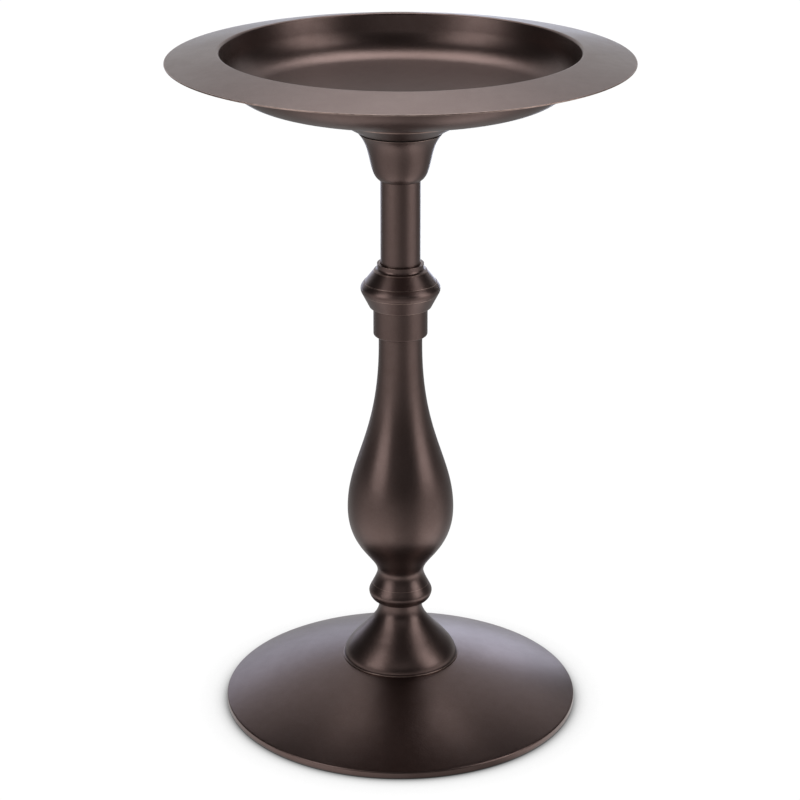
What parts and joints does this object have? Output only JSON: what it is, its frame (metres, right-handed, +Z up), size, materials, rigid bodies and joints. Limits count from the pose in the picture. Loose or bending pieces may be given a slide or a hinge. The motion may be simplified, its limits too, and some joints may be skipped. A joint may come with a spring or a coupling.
{
  "type": "bird bath",
  "caption": "Pedestal bird bath: a wide-rimmed metal bowl that screws on to a turned column standing on a domed round base.",
  "frame": {"origin": "centre of the base's underside, on the ground", "axes": "+Z up along the column; the object is round about Z, so +X and +Y are free"},
  "size_m": [0.508, 0.508, 0.7744],
  "materials": {
    "bronze_coat": "dark bronze powder coat with a fine metallic flake, satin",
    "zinc_plate": "bright zinc plate",
    "raw_casting": "rough sand casting, black wash",
    "washer_rubber": "matte black"
  },
  "bodies": {
    "pedestal": {"top_cup": "bronze_coat", "top_washer": "zinc_plate", "top_lock_washer": "zinc_plate", "top_nut": "zinc_plate", "upper_tube": "bronze_coat", "neck_ring": "bronze_coat", "upper_cone": "bronze_coat", "collar_bead": "bronze_coat", "lower_cone": "bronze_coat", "sleeve": "bronze_coat", "baluster": "bronze_coat", "knop_ring": "bronze_coat", "foot_bell": "bronze_coat", "base_dome": "bronze_coat", "base_weight": "raw_casting", "bottom_washer": "zinc_plate", "bottom_lock_washer": "zinc_plate", "bottom_nut": "zinc_plate", "tie_rod": "zinc_plate"},
    "seal": {"bowl_washer": "washer_rubber"},
    "basin": {"bowl": "bronze_coat", "bowl_flange": "bronze_coat", "bowl_boss": "zinc_plate"}
  },
  "joints": [
    {"name": "bowl_lift", "type": "slide", "parent": "pedestal", "child": "seal", "axis": [0, 0, 1], "range_m": [0, 0.012]},
    {"name": "bowl_turn", "type": "hinge", "parent": "seal", "child": "basin", "pos_m": [0, 0, 0.669], "axis": [0, 0, 1], "range_deg": [0, 2880]}
  ],
  "couplings": [
    {"joint": "bowl_lift", "follows": "bowl_turn", "m_per_rad": 0.00023873}
  ]
}
